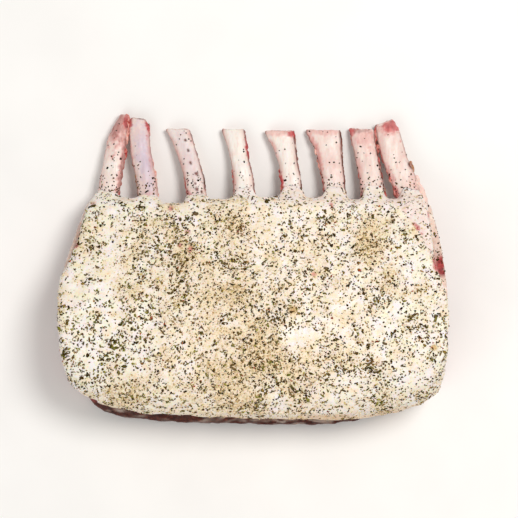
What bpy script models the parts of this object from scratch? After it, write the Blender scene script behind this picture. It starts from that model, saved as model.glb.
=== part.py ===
"""A rack of lamb: eight frenched rib bones under a loin with its fat cap, lying fat side up.

X runs along the row of ribs, Y from the thick chine edge to the bone tips, and Z up from the table.
Lengths are in millimetres, in a design frame whose y is 0 at the front of the fat cap. The finished
rack is then centred on the origin and stands on z = 0.
"""

import math

import bmesh
import bpy
from mathutils import Vector, noise

MM = 0.001

# Driving dimensions.
BODY_LENGTH = 122.0  # from the front of the fat cap to the french line, where the bones are scraped bare
RIB_THICKNESS = 7.0
GAP = 0.35  # clearance between pieces that touch
FLOOR_GAP = 0.06  # how far the bones stay above the plane that the meat rests on

# The plan outline of the body, as (x, y) points from corner to corner.
FRONT_EDGE = ((-101, 17), (-88, 8), (-70, 3.5), (-40, 1), (0, 0), (38, 0), (68, 3), (86, 8), (98, 16))
BACK_EDGE = (
    (-94, 122), (-70.5, 121.5), (-47, 118.5), (-23.5, 120.5), (0, 122),
    (23.5, 122), (47, 121), (70.5, 121), (94, 121),
)
LEFT_EDGE = ((-101, 17), (-107, 35), (-108.5, 58), (-107.6, 78), (-102.5, 97), (-94, 122))
RIGHT_EDGE = ((98, 16), (101.3, 33), (101.7, 52), (102.3, 72), (99.5, 97), (94, 121))

# Sections across the loin, as (y, z) points from the front edge to the french line.
SKIN = (
    (2.5, 13), (0, 23), (2.5, 36), (14, 47), (34, 51.5), (57, 49),
    (80, 42), (101, 34), (115, 28), (121.5, 23), (123, 17),
)
SEAM = (
    (5.8, 13.5), (6.6, 23), (8.5, 32), (18, 39.5), (35, 43.5), (57, 41.5),
    (80, 34.5), (101, 26.5), (113, 21.8), (118.6, 18.6), (120.2, 12.5),
)
BELLY = (
    (3.6, 0), (9, 0), (17, 0), (25, 3.5), (35, 8), (55, 13),
    (76, 14.8), (95, 14), (108, 12.3), (115, 11.2), (119, 10.4),
)

# The front, where the fat ends in a lip and bare meat stands out under it as a ledge.
LIP_HEIGHT = 13.0
LIP_BLEND_HEIGHT = 23.0  # above this height the front of the fat doesn't follow its lip
LOW_LIP_HEIGHT = 5.0  # the lip at the right, where the fat reaches nearly to the table
LEDGE_REACH = 3.6
LEDGE_EDGE_SHARE = 0.66  # height of the ledge's edge, as a share of the height of the lip
LEDGE_UNDERCUT = 0.9  # how far the ledge's foot stands back from its edge
LEDGE_SPAN = (0.03, 0.09, 0.66, 0.78)  # where it starts, is full, starts to fade and ends, along the width
HIDDEN_LEDGE_SETBACK = 1.5

# How far the fat stops short of the meat at each end, as (y, inset) points.
LEFT_INSET = ((0, 0), (40, 0), (78, 0), (90, 2.6), (104, 2.6), (114, 1), (122, 0.5))
RIGHT_INSET = ((0, 0), (40, 0), (68, 0), (78, 4.5), (90, 4.5), (106, 2.5), (122, 0.5))
INSET_SPAN = 0.12

END_ROUNDING = 7.0  # radius that the fat takes at the two ends
END_FAT_SHARE = 0.45  # how much of the fat's thickness is left at the very end
END_BULGE = 0.6  # how far the cut end of the meat stands out at half its height
UNDULATION = 1.3  # height of the soft lumps on the fat
UNDULATION_LENGTH = 24.0

# The fat that is left on top of each bone beyond the french line.
TONGUE_LENGTH = 8.0
TONGUE_DROP = 2.0  # how much lower the skin lies at the end of a tongue
TONGUE_SINK = 3.2  # how much lower its underside lies, so that it closes round the bone
TONGUE_INNER = 4.0  # half the width over which a tongue is full
TONGUE_OUTER = 7.5  # half the width at which it has run out
TONGUE_START = 0.84  # share of the section after which the tongues draw out

# The rib bones. Their arch is the height of the middle of the bone, as (y, z) points.
RIB_ARCH = (
    (0, -8), (7, -0.5), (13, 4.8), (22, 8.6), (38, 12.2),
    (56, 14.6), (76, 16.2), (98, 15.4), (122, 12),
)
CHINE_X = -96.0  # the first rib at the chine edge
CHINE_PITCH = 26.6
CHINE_WIDTH = 10.0
# Each bone's x and width where it leaves the meat, at its waist and at its tip, and the y of its tip.
RIBS = (
    {"base": (-84.8, 12.0), "waist": (-80.8, 11.8), "tip": (-78.2, 8.8), "tip_y": 169.8},
    {"base": (-61.7, 11.4), "waist": (-66.0, 11.4), "tip": (-68.0, 11.4), "tip_y": 169.2},
    {"base": (-34.5, 11.0), "waist": (-38.9, 11.2), "tip": (-45.7, 13.0), "tip_y": 161.9},
    {"base": (-8.0, 12.6), "waist": (-10.5, 10.2), "tip": (-14.6, 12.9), "tip_y": 161.6},
    {"base": (18.5, 12.0), "waist": (16.5, 11.0), "tip": (11.7, 16.4), "tip_y": 160.8},
    {"base": (42.8, 12.2), "waist": (40.4, 13.6), "tip": (37.2, 18.8), "tip_y": 161.1},
    {"base": (64.0, 13.6), "waist": (60.9, 12.9), "tip": (57.2, 13.8), "tip_y": 162.1},
    {"base": (84.2, 14.6), "waist": (76.1, 14.6), "tip": (71.3, 12.6), "tip_y": 167.2},
)
WAIST = 0.52  # share of the bare bone, from the meat, at which its waist lies
TIP_CHAMFER = 0.5
TIP_THICKNESS = 6.3

# Resolution of the solids.
BODY_ROWS = 16
END_STOP = 0.0035  # an extra column of the grid, for the rounding at each end
RIB_SIDES = 10
RIB_STOPS = (0, 7, 13, 22, 38, 58, 78, 100, 122)  # rings of the bones inside the meat, in y
BARE_STOPS = (0.26, 0.52, 0.76, 0.975, 1.0)  # rings beyond the meat, as shares of the bare bone

MATERIALS = {
    "fat": {"color": (0.74, 0.62, 0.46), "roughness": 0.5},
    "meat": {"color": (0.31, 0.05, 0.04), "roughness": 0.35},
    "bone": {"color": (0.83, 0.66, 0.58), "roughness": 0.45},
}


def clamp(value, low=0.0, high=1.0):
    return max(low, min(high, value))


def smoothstep(start, end, value):
    share = clamp((value - start) / (end - start))
    return share * share * (3 - 2 * share)


def lerp(a, b, share):
    return a + (b - a) * share


def hermite(start, end, leaving, arriving, t):
    """Blends from start to end, leaving and arriving with the given slopes."""
    return (
        start * (2 * t**3 - 3 * t**2 + 1)
        + leaving * (t**3 - 2 * t**2 + t)
        + end * (3 * t**2 - 2 * t**3)
        + arriving * (t**3 - t**2)
    )


def along(points, share):
    """A point on the smooth curve through the points, which are evenly spread from share 0 to 1."""
    last = len(points) - 1
    place = clamp(share) * last
    index = min(int(place), last - 1)
    before, start, end, after = (Vector(points[clamp(index + step, 0, last)]) for step in (-1, 0, 1, 2))
    return hermite(start, end, (end - before) / 2, (after - start) / 2, place - index)


def value_at(points, place):
    """The second value of a table at a place, turning smoothly from one entry to the next."""
    if place <= points[0][0]:
        return points[0][1]
    for index in range(len(points) - 1):
        (here, start), (there, end) = points[index], points[index + 1]
        if place > there:
            continue
        before = points[max(index - 1, 0)]
        after = points[min(index + 2, len(points) - 1)]
        span = there - here
        leaving = (end - before[1]) / (there - before[0]) * span
        arriving = (after[1] - start) / (after[0] - here) * span
        return hermite(start, end, leaving, arriving, (place - here) / span)
    return points[-1][1]


def plan(u, y):
    """Where a point of the body's grid lies in plan: u runs from the left end to the right."""
    v = clamp(y / BODY_LENGTH)
    front, back = along(FRONT_EDGE, u), along(BACK_EDGE, u)
    left, right = along(LEFT_EDGE, v), along(RIGHT_EDGE, v)
    near = Vector(FRONT_EDGE[0]).lerp(Vector(FRONT_EDGE[-1]), u)
    far = Vector(BACK_EDGE[0]).lerp(Vector(BACK_EDGE[-1]), u)
    point = front.lerp(back, v) + left.lerp(right, u) - near.lerp(far, v)
    point.y += y - v * BODY_LENGTH
    return point


def column_stops():
    """The u of each column of the body's grid, with four columns for each bone's tongue of fat."""
    left, right = BACK_EDGE[0][0], BACK_EDGE[-1][0]
    stops = [0.0, END_STOP, 1 - END_STOP, 1.0]
    for rib in RIBS:
        for offset in (-TONGUE_OUTER, -TONGUE_INNER, TONGUE_INNER, TONGUE_OUTER):
            stops.append((rib["base"][0] + offset - left) / (right - left))
    return sorted(stops)


COLUMNS = column_stops()


def column(across):
    return COLUMNS[round(across * (len(COLUMNS) - 1))]


def end_share(u):
    """0 at the two ends of the rack, rising round a quarter circle to 1 inside it."""
    width = FRONT_EDGE[-1][0] - FRONT_EDGE[0][0]
    inside = clamp(min(u, 1 - u) * width / END_ROUNDING)
    return math.sqrt(inside * (2 - inside))


def ledge(u):
    """1 where bare meat stands out under the front of the fat, and 0 where the fat covers it."""
    start, full, fading, end = LEDGE_SPAN
    return smoothstep(start, full, u) * (1 - smoothstep(fading, end, u))


def follow_lip(z, u):
    """Lowers the bottom of a front section to the lip of the fat there."""
    if z >= LIP_BLEND_HEIGHT:
        return z
    lip = lerp(LOW_LIP_HEIGHT, LIP_HEIGHT, ledge(u))
    return lip + (z - LIP_HEIGHT) * (LIP_BLEND_HEIGHT - lip) / (LIP_BLEND_HEIGHT - LIP_HEIGHT)


def front_section(points, u, share):
    """A point of a section, as y and z, with its front following the lip."""
    point = along(points, share)
    return Vector((point.x, follow_lip(point.y, u) if share < 0.5 else point.y))


def meat_top(u, share):
    """The meat's side of its seam with the fat, one gap inside it."""
    step = 0.01
    run = front_section(SEAM, u, share + step) - front_section(SEAM, u, share - step)
    inward = Vector((run.y, -run.x)).normalized()
    return front_section(SEAM, u, share) + inward * 1.4 * GAP


def over_bone(x):
    """1 over the middle of a bone and 0 between the bones, at the french line."""
    off = min(abs(x - rib["base"][0]) for rib in RIBS)
    return 1 - smoothstep(TONGUE_INNER, TONGUE_OUTER, off)


def inset(u, y):
    """How far the fat stops short of the meat's outline, in x."""
    left = value_at(LEFT_INSET, y) * (1 - smoothstep(0, INSET_SPAN, u))
    right = value_at(RIGHT_INSET, y) * smoothstep(1 - INSET_SPAN, 1, u)
    return left - right


def fat_shape(across, share, w):
    """The fat cap, from its seam with the meat at w = 0 to its skin at w = 1."""
    u = column(across)
    rounded = end_share(u)
    thickness = lerp(END_FAT_SHARE, 1, rounded) * w
    section = front_section(SEAM, u, share).lerp(front_section(SKIN, u, share), thickness)
    spot = plan(u, section.x)
    spot.x += inset(u, section.x)
    drawn = over_bone(spot.x) * smoothstep(TONGUE_START, 1, share)
    spot.y += TONGUE_LENGTH * drawn
    lump = UNDULATION * noise.noise(Vector((spot.x, spot.y, 0)) / UNDULATION_LENGTH)
    lift = lump * w * rounded * smoothstep(0, 0.25, share) - lerp(TONGUE_SINK, TONGUE_DROP, w) * drawn
    return Vector((spot.x, spot.y, section.y + lift))


def meat_shape(across, row_share, w):
    """The meat, from the belly at w = 0 to its seam with the fat at w = 1."""
    u = column(across)
    row = row_share * (BODY_ROWS + 1)
    share = clamp((row - 1) / BODY_ROWS)
    top, belly = meat_top(u, share), along(BELLY, share)
    if row < 0.5:
        # The first row is the edge of the ledge.
        top = Vector((lerp(HIDDEN_LEDGE_SETBACK, -LEDGE_REACH, ledge(u)), top.y * LEDGE_EDGE_SHARE))
        belly = Vector((top.x + LEDGE_UNDERCUT, 0))
    belly.y = max(belly.y, 0)
    section = belly.lerp(top, w)
    spot = plan(u, section.x)
    bulge = END_BULGE * math.sin(math.pi * w) * (1 - end_share(u))
    return Vector((spot.x + math.copysign(bulge, u - 0.5), spot.y, section.y))


def rib_section(index, stop):
    """A rib bone's middle, half width and half thickness, at one of its rings."""
    rib = RIBS[index]
    chine_x = CHINE_X + CHINE_PITCH * index
    front = value_at(FRONT_EDGE, chine_x)
    if stop < len(RIB_STOPS):
        y = lerp(front, BODY_LENGTH, RIB_STOPS[stop] / BODY_LENGTH)
        z, thickness = value_at(RIB_ARCH, RIB_STOPS[stop]), RIB_THICKNESS
    else:
        bare = BARE_STOPS[stop - len(RIB_STOPS)]
        y, thickness = lerp(BODY_LENGTH, rib["tip_y"], bare), lerp(RIB_THICKNESS, TIP_THICKNESS, bare)
        z = lerp(RIB_ARCH[-1][1], TIP_THICKNESS / 2 + FLOOR_GAP, bare)
    waist_y = lerp(BODY_LENGTH, rib["tip_y"], WAIST)
    places = (front, BODY_LENGTH, waist_y, rib["tip_y"])
    x, width = (
        value_at(list(zip(places, (chine, rib["base"][k], rib["waist"][k], rib["tip"][k]))), y)
        for k, chine in enumerate((chine_x, CHINE_WIDTH))
    )
    return Vector((x, y, z)), width / 2, thickness / 2


def rib_shape(index, grow, angle, share):
    """A point on a rib bone's skin, at an angle round it and a share of its rings from the chine."""
    last = len(RIB_STOPS) + len(BARE_STOPS) - 1
    stop = round(share * last)
    middle, half_width, half_thickness = rib_section(index, stop)
    chamfer = TIP_CHAMFER if stop == last and not grow else 0
    side = (half_width - chamfer + grow) * math.cos(angle)
    rise = (half_thickness - chamfer + grow) * math.sin(angle)
    return middle + Vector((side, 2 * grow * (stop == last), rise))


def material(name):
    made = bpy.data.materials.new(name)
    made.use_nodes = True
    shader = made.node_tree.nodes["Principled BSDF"]
    shader.inputs["Base Color"].default_value = (*MATERIALS[name]["color"], 1)
    shader.inputs["Roughness"].default_value = MATERIALS[name]["roughness"]
    return made


def add_object(name, bm, collection, parent, look=None):
    bmesh.ops.recalc_face_normals(bm, faces=bm.faces)
    mesh = bpy.data.meshes.new(name)
    bm.to_mesh(mesh)
    bm.free()
    made = bpy.data.objects.new(name, mesh)
    collection.objects.link(made)
    made.parent = parent
    if look:
        mesh.materials.append(look)
        mesh.shade_smooth()
        mesh.set_sharp_from_angle(angle=math.radians(50))
    return made


def cut_along(bm, axis, cuts):
    """Cuts every edge of a block that runs along an axis."""
    edges = [e for e in bm.edges if abs((e.verts[0].co - e.verts[1].co)[axis]) > 1e-6]
    bmesh.ops.subdivide_edges(bm, edges=edges, cuts=cuts, use_grid_fill=True)


def shaped_block(shape, columns, rows, layers):
    """A cube cut into a grid, whose every point is moved to shape(across, share, w)."""
    bm = bmesh.new()
    bmesh.ops.create_cube(bm, size=1)
    for axis, count in enumerate((columns, rows, layers)):
        if count > 1:
            cut_along(bm, axis, count - 1)
    for vert in bm.verts:
        vert.co = shape(*(round(value + 0.5, 6) for value in vert.co)) * MM
    return bm


def shaped_rib(index, grow=0.0):
    """A cylinder cut into rings, whose every point is moved onto the bone."""
    bm = bmesh.new()
    bmesh.ops.create_cone(bm, cap_ends=True, segments=RIB_SIDES, radius1=1, radius2=1, depth=1)
    cut_along(bm, 2, len(RIB_STOPS) + len(BARE_STOPS) - 2)
    for vert in bm.verts:
        angle = math.atan2(vert.co.y, vert.co.x)
        vert.co = rib_shape(index, grow, angle, vert.co.z + 0.5) * MM
    return bm


def cut_below(bm, height):
    """Saws off what lies below a height and closes the cut."""
    everything = bm.verts[:] + bm.edges[:] + bm.faces[:]
    plane = Vector((0, 0, height))
    bmesh.ops.bisect_plane(bm, geom=everything, plane_co=plane, plane_no=(0, 0, 1), clear_inner=True)
    bmesh.ops.holes_fill(bm, edges=[e for e in bm.edges if e.is_boundary], sides=0)


def cut_channel(target, cutter):
    channel = target.modifiers.new(cutter.name, "BOOLEAN")
    channel.operation = "DIFFERENCE"
    channel.solver = "EXACT"
    channel.object = cutter


def new_collection(name):
    made = bpy.data.collections.new(name)
    bpy.context.scene.collection.children.link(made)
    return made


def centre_over_origin(parent, objects):
    """Moves the whole rack so that its box stands centred on the origin."""
    bpy.context.view_layer.update()
    graph = bpy.context.evaluated_depsgraph_get()
    corners = [Vector(c) for o in objects for c in o.evaluated_get(graph).bound_box]
    for axis in (0, 1):
        values = [corner[axis] for corner in corners]
        parent.location[axis] = -(min(values) + max(values)) / 2


def main():
    for old in list(bpy.data.objects):
        bpy.data.objects.remove(old)
    parts, cutters = new_collection("rack_of_lamb"), new_collection("cutters")
    rack = bpy.data.objects.new("rack", None)
    parts.objects.link(rack)
    fat, meat, bone = (material(name) for name in ("fat", "meat", "bone"))

    columns = len(COLUMNS) - 1
    fat_cap = add_object("fat_cap", shaped_block(fat_shape, columns, BODY_ROWS, 1), parts, rack, fat)
    loin = add_object("loin_meat", shaped_block(meat_shape, columns, BODY_ROWS + 1, 2), parts, rack, meat)
    pieces = [fat_cap, loin]
    for index in range(len(RIBS)):
        bm = shaped_rib(index)
        cut_below(bm, FLOOR_GAP * MM)
        pieces.append(add_object(f"rib_{index + 1}", bm, parts, rack, bone))
        channel = add_object(f"rib_{index + 1}_channel", shaped_rib(index, GAP), cutters, rack)
        channel.hide_render = True
        channel.display_type = "WIRE"
        cut_channel(loin, channel)
        cut_channel(fat_cap, channel)
    centre_over_origin(rack, pieces)


main()
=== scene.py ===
"""The looks of the rack of lamb: fat, flesh, bones and a rub of herbs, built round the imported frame.

Lengths are in millimetres until a mesh is written, in the frame's axes: x along the row of ribs,
y towards the bone tips and z up.
"""

import itertools
import math
from collections import namedtuple

import bmesh
import bpy
import numpy as np
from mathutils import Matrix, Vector
from mathutils.kdtree import KDTree


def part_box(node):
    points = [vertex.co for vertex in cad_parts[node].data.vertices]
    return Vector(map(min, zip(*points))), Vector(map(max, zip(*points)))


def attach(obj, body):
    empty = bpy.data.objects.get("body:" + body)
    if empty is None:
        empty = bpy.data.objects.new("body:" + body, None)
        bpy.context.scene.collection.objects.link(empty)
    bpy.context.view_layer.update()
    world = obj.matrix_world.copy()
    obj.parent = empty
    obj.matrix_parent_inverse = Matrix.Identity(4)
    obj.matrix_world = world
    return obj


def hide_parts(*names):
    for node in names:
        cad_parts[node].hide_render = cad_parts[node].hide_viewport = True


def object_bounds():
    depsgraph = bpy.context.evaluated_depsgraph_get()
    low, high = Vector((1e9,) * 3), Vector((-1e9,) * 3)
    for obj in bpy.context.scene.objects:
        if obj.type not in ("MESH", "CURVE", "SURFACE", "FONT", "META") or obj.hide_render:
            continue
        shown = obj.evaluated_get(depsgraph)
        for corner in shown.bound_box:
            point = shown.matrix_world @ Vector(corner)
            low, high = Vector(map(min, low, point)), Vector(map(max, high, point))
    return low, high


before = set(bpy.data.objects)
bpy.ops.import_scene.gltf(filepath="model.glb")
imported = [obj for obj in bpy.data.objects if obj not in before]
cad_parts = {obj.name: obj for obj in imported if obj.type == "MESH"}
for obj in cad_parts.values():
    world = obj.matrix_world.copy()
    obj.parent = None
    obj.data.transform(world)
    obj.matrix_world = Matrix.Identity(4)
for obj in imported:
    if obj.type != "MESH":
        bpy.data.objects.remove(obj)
CAD_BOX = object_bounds()
MM = 0.001
LOW = np.array(CAD_BOX[0]) / MM
HIGH = np.array(CAD_BOX[1]) / MM
FRENCH_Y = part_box("loin_meat")[1].y / MM  # the french line, where the bones leave the meat
FRONT_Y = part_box("fat_cap")[0].y / MM  # the fat's front
RIBS = [f"rib_{index}" for index in range(1, 9)]
LOWEST = 0.02  # the least height of a skin's points above the floor

# Each skin's mesh size in mm and rounds of smoothing. A finer fat would be over 200,000 triangles.
FAT_MESH = (0.93, 8)
MEAT_MESH = (1.0, 6)
BONE_MESH = (0.6, 5)
SCRAP_MESH = (0.35, 6)

# The eye of the loin on the cut ends: how far behind the fat's front, how high, and half its size.
EYE_Y, EYE_Z = 31, 24
EYE_WIDE, EYE_HIGH = 22, 13.5

# The camera looks straight down from a little right of the rack's middle, and towards the bones.
VIEW_OFFSET = (3.1, 5.5)
VIEW_HEIGHT = 1000.0
VIEW_LENS = 122.9  # the focal length

# Where the rub lies thick, as (x, y, radius, strength).
DENSE_RUB = (
    (-40, 19, 7, 0.9), (-43, 23, 6, 0.3), (-12, 4, 8, 0.5), (-8, 20, 8, 0.45), (-91, 16, 8, 0.35),
    (-36, -8, 9, 0.5), (-40, 4, 7, 0.4), (-52, 7, 8, 0.3), (-56, -19, 9, 0.55), (-58, -23, 6, 0.4),
    (-69, -32, 8, 0.5), (-47, -31, 8, 0.5), (-76, -51, 6, 1.1), (-72, -42, 7, 0.4), (-98, -33, 9, 0.5),
    (-99, -47, 8, 0.7), (0, -45, 9, 0.9), (12, -27, 7, 0.7), (-1, -17, 8, 0.6), (66, -16, 6, 0.8),
    (60, 15, 9, 0.5), (71, 14, 7, 0.5), (84, -31, 9, 0.7), (18, 36, 8, 0.5), (28, -66, 8, 0.7),
    (3, -71, 8, 0.6), (63, -54, 7, 0.6), (47, -45, 8, 0.5), (24, -22, 6, 0.4), (24, -1, 7, 0.35),
    (-58, -63, 9, 0.3), (-62, 32, 7, 0.3), (12, 9, 7, 0.4), (46, -64, 7, 0.6), (71, -76, 8, 0.6),
    (1, -16, 6, 0.3), (-75, -36, 6, 0.4), (12, -26, 6, 0.35), (38, -36, 8, 0.3), (-20, -60, 10, 0.2),
    (-95, -70, 10, 0.3), (-80, -76, 10, 0.3), (56, -3, 8, 0.35), (70, -38, 7, 0.3),
)
# Where the fat shows nearly bare. The next three tables are laid out in the same way too.
BARE_FAT = (
    (-76, 25, 9, 0.5), (-78, 4, 8, 0.5), (-84, -11, 9, 0.4), (-87, -43, 7, 0.5), (-58, -37, 6, 0.6),
    (-34, -56, 7, 0.5), (47, -14, 8, 0.6), (45, 5, 7, 0.3), (25, -38, 7, 0.5), (88, 9, 7, 0.35),
    (69, -42, 7, 0.25), (89, -55, 10, 0.5), (32, 28, 9, 0.5), (4, 36, 6, 0.6), (94, 30, 9, 0.1),
    (94, -4, 8, 0.4), (86, 12, 8, 0.25), (98, -12, 7, 0.3), (-30, 38, 7, 0.4), (60, 36, 8, 0.4),
    (-98, -5, 8, 0.3), (-46, 34, 5, 0.5), (-40, 27, 4, 0.5), (-35, 20, 4, 0.4), (-85, 34, 8, 0.3),
    (15, 31, 7, 0.3), (-75, -18, 7, 0.3), (1, 3, 6, 0.3), (-76, -27, 6, 0.3), (-62, -55, 7, 0.4),
    (-30, 8, 8, 0.25), (-54, 24, 6, 0.3), (82, 18, 8, 0.25), (24, -32, 6, 0.3), (28, -55, 7, 0.45),
    (-86, -55, 6, 0.35), (-74, -46, 5, 0.35), (99, -24, 6, 0.4), (66, -48, 6, 0.3), (46, -22, 6, 0.4),
    (60, -22, 6, 0.45), (77, -21, 6, 0.5), (73, -31, 5, 0.4), (41, -70, 7, 0.5), (52, -75, 6, 0.5),
    (82, -60, 7, 0.5), (53, -60, 5, 0.35), (3, 22, 6, 0.35),
)
# Where the spices make a tan paste.
PASTE = (
    (-10, 23, 9, 0.9), (65, 16, 10, 1.0), (-38, 8, 10, 0.6), (-12, 5, 9, 0.6), (-43, 22, 9, 0.5),
    (-62, 13, 10, 0.5), (-66, -11, 6, 0.5), (-52, -8, 6, 0.5), (-30, -12, 14, 0.5), (-8, -15, 10, 0.6),
    (2, -45, 11, 1.1), (10, -51, 9, 0.8), (-14, -55, 12, 0.8), (3, -30, 8, 0.5), (22, -20, 7, 0.6),
    (34, 11, 7, 0.5), (87, -12, 6, 0.5), (73, -7, 7, 0.5), (83, -32, 6, 0.4), (26, -50, 12, 0.5),
    (-50, 25, 10, 0.3), (-62, 14, 8, 0.2), (-38, -36, 9, 0.4), (55, 3, 7, 0.4), (-10, -69, 12, 0.6),
    (-72, -72, 14, 0.5), (-36, -71, 12, 0.4), (68, -58, 8, 0.4), (49, -42, 7, 0.4),
)
# Where flesh shows pink or red through the fat.
PINK_FAT = (
    (-96, 20, 2.0, 0.6), (-96.5, 16, 2.0, 0.6), (-97, 12.5, 1.8, 1.0), (88, 25, 1.8, 0.5),
    (90, 22.5, 1.8, 0.55), (92, 19.5, 1.3, 0.5), (102, 2.5, 4.0, 1.3), (-46, 33, 3, 0.4),
    (-41, 27, 3, 0.4), (-36, 20, 3, 0.42), (-34, 11, 2.4, 0.8), (-40, 13, 2, 0.5), (43, 36, 1.8, 0.8),
    (-88, 36, 4, 0.3), (98, 30, 5, 0.4), (33, -3, 2, 0.5),
)
# Where the meat beyond the fat's right edge, and at its left, shows raw and red.
RAW_MEAT = ((104, 3, 4.5, 1.6), (103, -2, 3, 0.8), (-94, 12, 4, 0.8))

# Lumps and dents in the fat: (x, y, radius, height in mm), of which the first two are of tan spice.
LUMPS = (
    (21, -22, 2.6, 1.3), (97, -42, 1.9, 0.9), (-10, 24, 5.0, 0.7), (65, 17, 5.5, 0.7),
    (9, -50, 2.6, 0.8), (76, 38, 2.6, 1.0), (94, 17, 1.6, -1.1), (96, 13, 1.5, -1.1),
    (98, 9, 1.5, -1.0), (99.5, 5, 1.5, -0.9), (-70, 18, 5.0, 0.6), (47, -12, 6.0, 0.6),
    (-35, -52, 6.0, 0.6), (28, -36, 5.0, 0.5),
)
TAN_LUMPS = LUMPS[:2]
# Bits of the rub that lie together: (x, y, radius, how many, kind, length).
CLUSTERS = (
    (62, -53, 2.6, 10, "herb_needles", 3.2), (62, -49, 2.2, 20, "husk_chips", 1.6),
    (85, -26, 1.6, 7, "herb_needles", 3.4), (99, -25, 1.4, 5, "leaf_flakes", 3.0),
    (67, -15, 2.2, 9, "leaf_flakes", 2.2), (77, 26, 0.6, 2, "leaf_flakes", 3.6),
    (62, -41, 1.2, 4, "leaf_flakes", 2.4), (-79, -47, 2.6, 16, "leaf_flakes", 2.1),
    (-101, -45, 1.8, 9, "leaf_flakes", 2.6), (-66, -30, 2.8, 14, "leaf_flakes", 2.0),
    (-74, -41, 2.4, 10, "leaf_flakes", 2.1), (68, -72, 1.4, 6, "green_sprigs", 2.8),
    (2, -70, 3.0, 9, "green_sprigs", 2.0), (29, 21, 0.8, 3, "leaf_flakes", 2.8),
    (9, -50, 2.0, 10, "green_sprigs", 2.0), (-40, 18, 3.0, 9, "herb_needles", 2.6),
    (-5, -39, 3.6, 12, "husk_chips", 1.8), (16, -8, 2.2, 7, "leaf_flakes", 2.2),
    (-10, 24, 4.4, 22, "husk_chips", 1.6), (65, 16, 4.6, 24, "husk_chips", 1.6),
    (37, 26, 1.6, 3, "green_sprigs", 2.0), (-46, 12, 4.0, 8, "herb_needles", 2.8),
    (21, -22, 1.4, 4, "husk_chips", 2.2), (-84, -58, 3.0, 9, "green_sprigs", 1.8),
    (-57, -66, 3.6, 10, "green_sprigs", 1.8), (-88, 12, 3.0, 8, "husk_chips", 1.6),
    (42, 17, 2.4, 6, "herb_needles", 2.6), (0, -31, 2.6, 8, "leaf_flakes", 2.0),
    (28, -67, 2.6, 8, "leaf_flakes", 1.9), (-13, -26, 2.2, 6, "herb_needles", 2.8),
)

# Marks on the bare bones: (rib, kind, share of the way to the tip, place across from -1 to 1,
# length in mm, width as a share of half the bone's, strength).
MARKS = (
    (1, "flesh", 0.86, 0.0, 20, 1.6, 0.95), (1, "stain_and_shade", 0.88, -0.1, 14, 1.2, 0.4),
    (1, "flesh", 0.45, 0.9, 46, 0.35, 0.9), (1, "blood", 0.93, 0.8, 10, 0.3, 0.7),
    (1, "blood", 0.02, 0.8, 4, 0.4, 0.9), (1, "stain_and_shade", 0.5, 0.95, 36, 0.25, 0.55),
    (2, "haze", 0.5, 0.25, 38, 0.8, 0.95), (2, "blood", 0.93, -1.0, 7, 0.3, 0.8),
    (2, "blood", 0.88, 1.0, 9, 0.25, 0.9), (2, "stain_and_shade", 1.0, 0.2, 1.6, 1.0, 0.8),
    (2, "flesh", 0.45, 1.0, 34, 0.3, 0.55), (2, "flesh", 0.02, 0.2, 6, 0.9, 0.5),
    (2, "flesh", 0.5, -1.0, 34, 0.22, 0.5),
    (3, "haze", 0.6, 0.1, 34, 0.75, 0.4), (3, "stain_and_shade", 0.05, 0.3, 3.5, 0.3, 1.0),
    (3, "stain_and_shade", 0.16, 0.15, 2.0, 0.2, 0.9), (3, "stain_and_shade", 0.83, 0.3, 1.7, 0.15, 1.0),
    (3, "stain_and_shade", 0.69, 0.25, 1.3, 0.13, 1.0), (3, "stain_and_shade", 0.52, 0.1, 1.8, 0.12, 1.0),
    (3, "stain_and_shade", 0.37, 0.35, 1.5, 0.16, 1.0), (3, "stain_and_shade", 0.24, 0.05, 1.4, 0.14, 1.0),
    (3, "stain_and_shade", 0.13, 0.55, 2.0, 0.16, 1.0), (3, "blood", 0.1, -0.95, 5, 0.3, 0.7),
    (3, "flesh", 0.55, -0.95, 30, 0.3, 0.5), (3, "flesh", 0.9, 0.9, 8, 0.35, 0.4),
    (4, "blood", 0.72, 1.0, 12, 0.16, 0.9), (4, "flesh", 0.2, -0.98, 14, 0.16, 0.7),
    (5, "blood", 0.25, -1.0, 7, 0.25, 1.0), (5, "flesh", 0.97, 0.0, 4, 1.0, 0.6),
    (5, "blood", 0.95, 0.8, 4, 0.35, 0.9), (5, "flesh", 0.75, -0.95, 10, 0.3, 0.6),
    (6, "blood", 0.04, -0.95, 6, 0.45, 1.0), (6, "flesh", 0.7, -0.95, 22, 0.3, 0.9),
    (6, "flesh", 0.97, 0.1, 3.5, 0.8, 0.6), (6, "flesh", 0.5, 0.1, 16, 0.7, 0.3),
    (7, "flesh", 0.86, 0.1, 10, 1.0, 0.65), (7, "blood", 0.95, -0.95, 5, 0.35, 0.8),
    (7, "blood", 0.04, -0.9, 5, 0.4, 0.8), (7, "flesh", 0.4, -0.95, 20, 0.25, 0.6),
    (7, "stain_and_shade", 0.96, -0.2, 2, 0.6, 0.4),
    (8, "blood", 0.93, 0.3, 7, 0.75, 0.75), (8, "flesh", 0.88, 0.0, 9, 1.0, 0.7),
    (8, "stain_and_shade", 0.42, 1.0, 4, 0.25, 1.0), (8, "flesh", 0.3, -0.95, 20, 0.3, 0.8),
    (8, "blood", 0.1, -0.98, 8, 0.3, 0.7), (8, "flesh", 0.1, 0.7, 12, 0.5, 0.5),
)
# How white each bone's top is, from pink at 0 to white at 1.
PALENESS = (0.6, 0.3, 0.6, 1.0, 0.9, 0.5, 0.25, 0.4)
# The ragged lines along each bone's edges: (left flesh, left stain, right flesh, right stain), where the
# dark right line is partly stain and partly painted shade down the bones' right sides.
EDGES = (
    (0.3, 0.3, 1.0, 0.3), (0.7, 0.4, 0.6, 0.4), (0.6, 0.5, 0.3, 1.0), (0.6, 0.7, 0.3, 1.0),
    (0.5, 0.6, 0.3, 1.0), (0.7, 0.5, 0.3, 1.0), (0.7, 0.4, 0.3, 1.0), (0.8, 0.6, 0.4, 0.5),
)
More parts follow.
